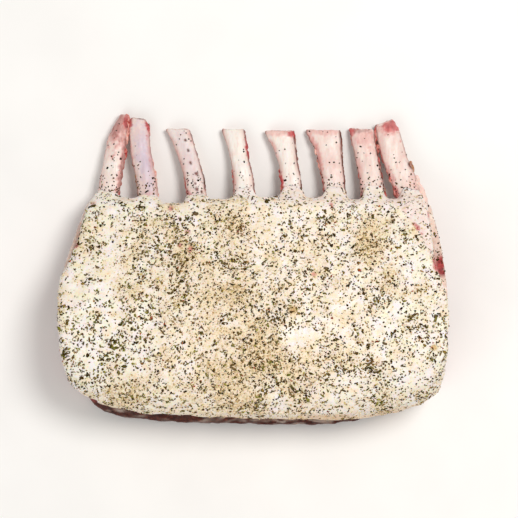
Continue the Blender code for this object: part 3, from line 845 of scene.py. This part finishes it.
def bone_edge(node, side):
    """The line down one side of a bone's middle, as its y places with the x and z at each."""
    points = points_of(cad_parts[node].data)
    y = points[:, 1]
    rows = np.unique(np.round(y[y > FRENCH_Y - 8]))
    across, height = [], []
    for row in rows:
        ring = points[np.abs(y - row) < 1.5]
        across.append(ring[:, 0].max() if side > 0 else ring[:, 0].min())
        height.append((ring[:, 2].max() + ring[:, 2].min()) / 2)
    return rows, across, height


def ball():
    """The corners and triangles of a small round ball of radius 1."""
    bm = bmesh.new()
    bmesh.ops.create_icosphere(bm, subdivisions=2, radius=1)
    corners = np.array([vert.co[:] for vert in bm.verts])
    triangles = np.array([[vert.index for vert in face.verts] for face in bm.faces])
    bm.free()
    return corners, triangles


def scrap_chain(rib, side, start, end, radius, rng):
    """Blobs in a ragged chain along one side of a bone, as (x, y, z, radius) rows."""
    node = RIBS[rib - 1]
    rows, across, height = bone_edge(node, side)
    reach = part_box(node)[1].y / MM - FRENCH_Y
    y = np.arange(FRENCH_Y + start * reach, FRENCH_Y + end * reach - radius, radius * 0.8)
    size = radius * rng.uniform(0.35, 1.15, len(y))
    x = np.interp(y, rows, across) + side * rng.uniform(-0.5, 0.35, len(y)) * radius
    z = np.interp(y, rows, height) + rng.uniform(-0.6, 0.5, len(y)) * radius
    return np.stack([x, y, np.maximum(z, size), size], axis=1)


def make_scraps():
    """Ragged flesh left along the bones' edges, grown from chains of small blobs."""
    rng = np.random.default_rng(21)
    chains = [scrap_chain(*scrap[:5], rng) for scrap in SCRAPS]
    blobs = np.concatenate(chains)
    tones = np.concatenate([np.full(len(chain), scrap[5]) for chain, scrap in zip(chains, SCRAPS)])
    tones += rng.uniform(-0.12, 0.12, len(tones))
    corners, triangles = ball()
    shapes = blobs[:, None, :3] + corners * (1.0, 2.2, 1.0) * blobs[:, None, 3:]
    faces = np.arange(len(blobs))[:, None, None] * len(corners) + triangles
    mesh = mesh_of("tissue_scraps", shapes.reshape(-1, 3), faces.reshape(-1, 3))
    piece = remeshed(new_object("tissue_scraps", mesh), *SCRAP_MESH)
    points, normals = points_of(piece.data), normals_of(piece.data)
    tree = KDTree(len(blobs))
    for index, blob in enumerate(blobs):
        tree.insert(blob[:3], index)
    tree.balance()
    tone = np.array([tones[tree.find(point)[1]] for point in points])
    relief = 0.3 * noise(points, (1.4, 3, 1.4), 150) + 0.12 * noise(points, 0.8, 151)
    move_points(piece.data, points + normals * relief[:, None])
    paint(piece.data, "tone", tone + 0.25 * noise(points, 2.5, 152))
    dress(piece, scrap_material(), "meat")


def scrap_material():
    look = Surface("scraps", Subsurface_Weight=0.15, Subsurface_Scale=0.0015, Specular_IOR_Level=0.5)
    fibre = look.noise(1.0, 4, stretch=(1, 3, 1))
    tone = look.ramp(
        look.painted("tone"), (0.0, (236, 204, 194)), (0.3, (220, 140, 126)),
        (0.5, (176, 52, 50)), (0.75, (120, 50, 36)), (1.0, (168, 112, 58)),
    )
    light = look.ramp(fibre, (0.45, 0.0), (0.7, 0.45))
    dark = look.ramp(fibre, (0.3, 0.4), (0.45, 0.0))
    colour = look.layers(tone, (light, rgb(240, 204, 186)), (dark, rgb(96, 26, 22)))
    roughness = look.ramp(fibre, (0.3, 0.25), (0.7, 0.45))
    return look.finish(colour, roughness, fibre, 0.15, 0.7)


# --- the rub


class Ground:
    """A skin's triangles, to lay loose pieces on."""

    def __init__(self, piece):
        mesh = piece.data
        mesh.calc_loop_triangles()
        corners = np.empty(len(mesh.loop_triangles) * 3, np.int64)
        mesh.loop_triangles.foreach_get("vertices", corners)
        points, normals = points_of(mesh), normals_of(mesh)
        self.corners = points[corners.reshape(-1, 3)]
        self.normals = normals[corners.reshape(-1, 3)]
        sides = self.corners[:, 1] - self.corners[:, 0], self.corners[:, 2] - self.corners[:, 0]
        cross = np.cross(*sides)
        self.area = np.linalg.norm(cross, axis=1) / 2
        self.facing = cross[:, 2] / (2 * self.area + 1e-12)  # how far each faces up, from -1 to 1
        self.middle = self.corners.mean(axis=1)

    def places(self, count, weight, rng):
        """Random points on the skin with its normals there, more of them where the weight is high."""
        chance = self.area * weight
        chosen = rng.choice(len(chance), count, p=chance / chance.sum())
        shares = rng.dirichlet((1, 1, 1), count)[:, :, None]
        normals = (self.normals[chosen] * shares).sum(axis=1)
        normals /= np.linalg.norm(normals, axis=1)[:, None]
        return (self.corners[chosen] * shares).sum(axis=1), normals


def chip_axes(normals, rng):
    """Each chip's own axes, lying at random and leaning a little away from the skin's normals."""
    count = len(normals)
    yaw = rng.uniform(0, 2 * math.pi, count)
    leaning = normals + CHIP_TILT * rng.normal(size=(count, 3))
    leaning /= np.linalg.norm(leaning, axis=1)[:, None]
    heading = np.stack([np.cos(yaw), np.sin(yaw), np.zeros(count)], axis=1)
    along = heading - leaning * (heading * leaning).sum(axis=1)[:, None]
    along /= np.linalg.norm(along, axis=1)[:, None]
    return np.stack([along, np.cross(leaning, along), leaning], axis=1)


def chips(name, points, normals, sizes, sides, curl, rng):
    """Flat, irregular chips lying on a skin, joined into one mesh. Sizes are (length, width, thickness)."""
    count = len(points)
    axes = chip_axes(normals, rng)
    angles = np.arange(sides) * 2 * math.pi / sides + rng.uniform(-0.35, 0.35, (count, sides))
    reach = rng.uniform(0.72, 1.12, (count, sides))
    local = np.zeros((count, sides + 2, 3))
    local[:, :sides, 0] = np.cos(angles) * reach / 2
    local[:, :sides, 1] = np.sin(angles) * reach / 2
    local[:, :sides, 2] = rng.uniform(-0.3, 0.3, (count, sides))
    local[:, sides, 2], local[:, sides + 1, 2] = 0.5, -0.5
    local *= sizes[:, None, :]
    local[:, :, 2] += curl * rng.uniform(-1, 1, count)[:, None] * local[:, :, 0] ** 2 / sizes[:, None, 0]
    corners = np.einsum("nkc,ncd->nkd", local, axes) + points[:, None]
    corners += normals[:, None] * (sizes[:, 2] * (0.5 - CHIP_SUNK))[:, None, None]
    ring = np.arange(sides)
    following = (ring + 1) % sides
    upper = np.stack([ring, following, np.full(sides, sides)], axis=1)
    lower = np.stack([following, ring, np.full(sides, sides + 1)], axis=1)
    fan = np.concatenate([upper, lower])
    triangles = (np.arange(count)[:, None, None] * (sides + 2) + fan).reshape(-1, 3)
    mesh = mesh_of(name, corners.reshape(-1, 3), triangles)
    paint(mesh, "tint", np.repeat(rng.uniform(0, 1, count), sides + 2))
    return new_object(name, mesh)


def chip_sizes(kind, count, length, spread, rng):
    """Lengths that vary by the spread, with widths and thicknesses in proportion."""
    long = length * np.exp(spread * rng.normal(size=count)).clip(0.4, 2.6)
    wide = long * kind.width * rng.uniform(0.75, 1.25, count)
    thick = kind.thickness * rng.uniform(0.7, 1.4, count)
    return np.stack([long, wide, thick], axis=1)


def rub_material(name, tones):
    look = Surface(name, Specular_IOR_Level=0.08)
    colour = look.ramp(look.painted("tint"), *zip((0.0, 0.35, 0.7, 1.0), tones))
    mottle = look.noise(0.35, 2)
    colour = look.mix(look.ramp(mottle, (0.35, 0.3), (0.65, 0.0)), colour, rgb(40, 30, 14))
    return look.finish(colour, look.ramp(mottle, (0.3, 0.7), (0.7, 0.9)), mottle, 0.08, 0.6)


class Rub:
    """Heaps of chips of each kind, laid down bit by bit and then made into one piece for each kind."""

    def __init__(self, seed):
        self.rng = np.random.default_rng(seed)
        self.heaps = {name: [] for name in RUB_KINDS}

    def lay(self, name, count, ground, weight, length, spread=0.3):
        """Lays chips of one kind on the ground, more of them where the weight is high."""
        points, normals = ground.places(count, weight, self.rng)
        sizes = chip_sizes(RUB_KINDS[name], count, length, spread, self.rng)
        self.heaps[name].append((points, normals, sizes))

    def finish(self):
        for name, heap in self.heaps.items():
            kind = RUB_KINDS[name]
            points, normals, sizes = (np.concatenate(part) for part in zip(*heap))
            piece = chips(name, points, normals, sizes, kind.sides, kind.curl, self.rng)
            dress(piece, rub_material(name, kind.tones), kind.slot)


def sprinkle_fat(rub, fat):
    """The rub over the top of the fat, thinning out down its sides."""
    ground = Ground(fat)
    place = ground.middle
    high = np.maximum(rise(12, 26, place[:, 2]), rise(FRENCH_Y - 6, FRENCH_Y, place[:, 1]))
    exposed = rise(-0.15, 0.5, ground.facing) * high
    exposed *= 0.25 + 0.75 * rise(0.1, 0.75, ground.facing)
    thick = rub_density(place) * exposed
    paste = paste_density(place)
    green = np.clip(0.5 + 0.6 * noise(place, 16, 91) - 0.004 * place[:, 0], 0.1, 1.2)
    rub.lay("herb_flakes", 4300, ground, thick, 1.16, 0.36)
    rub.lay("leaf_flakes", 900, ground, thick * green, 2.05)
    rub.lay("herb_needles", 340, ground, thick, 2.8, 0.25)
    rub.lay("green_sprigs", 660, ground, thick * green, 1.6)
    rub.lay("husk_chips", 2700, ground, thick * (0.4 + paste), 1.14)
    rub.lay("pepper_bits", 1700, ground, thick, 0.88)
    rub.lay("spice_grains", 7000, ground, (0.15 + 1.3 * paste) * exposed, 0.85)
    rub.lay("chili_flakes", 150, ground, thick, 1.4)
    for x, y, radius, count, name, length in CLUSTERS:
        rub.lay(name, count, ground, spots(place, [(x, y, radius, 1)]) * exposed, length, 0.22)


def sprinkle_edge(rub, meat):
    """The few bits that fell on the meat's right edge."""
    edge = Ground(meat)
    place = edge.middle
    weight = rise(0.05, 0.3, edge.facing) * rise(10, 14, place[:, 2]) * (place[:, 0] > 90)
    weight *= rise(-12, 2, place[:, 1])
    rub.lay("pepper_bits", 60, edge, weight, 1.0)
    rub.lay("herb_flakes", 60, edge, weight, 1.3)
    rub.lay("herb_needles", 12, edge, weight, 2.2)


def sprinkle_bones(rub, bones):
    """The few bits that fell on the bones, most near the french line."""
    for bone, count in zip(bones, BONE_SPECKS):
        ground = Ground(bone)
        y = ground.middle[:, 1]
        weight = rise(0.3, 0.8, ground.facing) * rise(FRENCH_Y, FRENCH_Y + 3, y)
        nearness = 0.35 + 1.2 * rise(HIGH[1] - 10, FRENCH_Y, y) ** 2
        rub.lay("pepper_bits", count, ground, weight * nearness, 1.0)
        rub.lay("herb_flakes", count, ground, weight * rise(FRENCH_Y + 18, FRENCH_Y + 8, y), 0.95)


# --- stage, light and camera


def make_stage():
    look = Surface("floor")
    colour = look.ramp(look.noise(60, 2), (0.3, (240, 239, 237)), (0.7, (245, 244, 242)))
    material = look.finish(colour, 0.8, look.noise(2, 2), 0.02, 0.2)
    bm = bmesh.new()
    bmesh.ops.create_grid(bm, x_segments=1, y_segments=1, size=3.0)
    mesh = bpy.data.meshes.new("floor")
    bm.to_mesh(mesh)
    bm.free()
    mesh.materials.append(material)
    floor = new_object("floor", mesh)


def add_light(name, place, size, power, colour):
    """A round soft light that shines at the middle of the frame. Its place and size are in metres."""
    data = bpy.data.lights.new(name, "AREA")
    data.shape = "DISK"
    data.size = size
    data.energy = power
    data.color = colour
    light = new_object(name, data)
    light.location = place
    light.rotation_euler = (-Vector(place)).to_track_quat("-Z", "Y").to_euler()


def make_light():
    world = bpy.data.worlds.new("studio")
    world.use_nodes = True
    background = world.node_tree.nodes["Background"]
    background.inputs["Color"].default_value = (1.0, 0.985, 0.965, 1)
    background.inputs["Strength"].default_value = 0.5
    bpy.context.scene.world = world
    bpy.context.scene.view_settings.view_transform = "Standard"
    add_light("key", (0.42, 0.3, 1.0), 0.45, 7.7, (1.0, 0.975, 0.945))
    add_light("fill", (-0.6, -0.75, 0.75), 1.0, 3.4, (1.0, 0.985, 0.965))


def make_camera():
    data = bpy.data.cameras.new("camera")
    data.lens = VIEW_LENS
    data.clip_start = 0.01
    data.clip_end = 20
    camera = new_object("camera", data)
    camera.location = (VIEW_OFFSET[0] * MM, VIEW_OFFSET[1] * MM, VIEW_HEIGHT * MM)
    bpy.context.scene.camera = camera


BONE = bone_material()
make_light()
make_camera()
make_stage()
FAT = make_fat()
MEAT = make_meat()
BONES = [make_bone(rib) for rib in range(1, len(RIBS) + 1)]
make_scraps()

RUB = Rub(seed=8)
sprinkle_fat(RUB, FAT)
sprinkle_edge(RUB, MEAT)
sprinkle_bones(RUB, BONES)
RUB.finish()
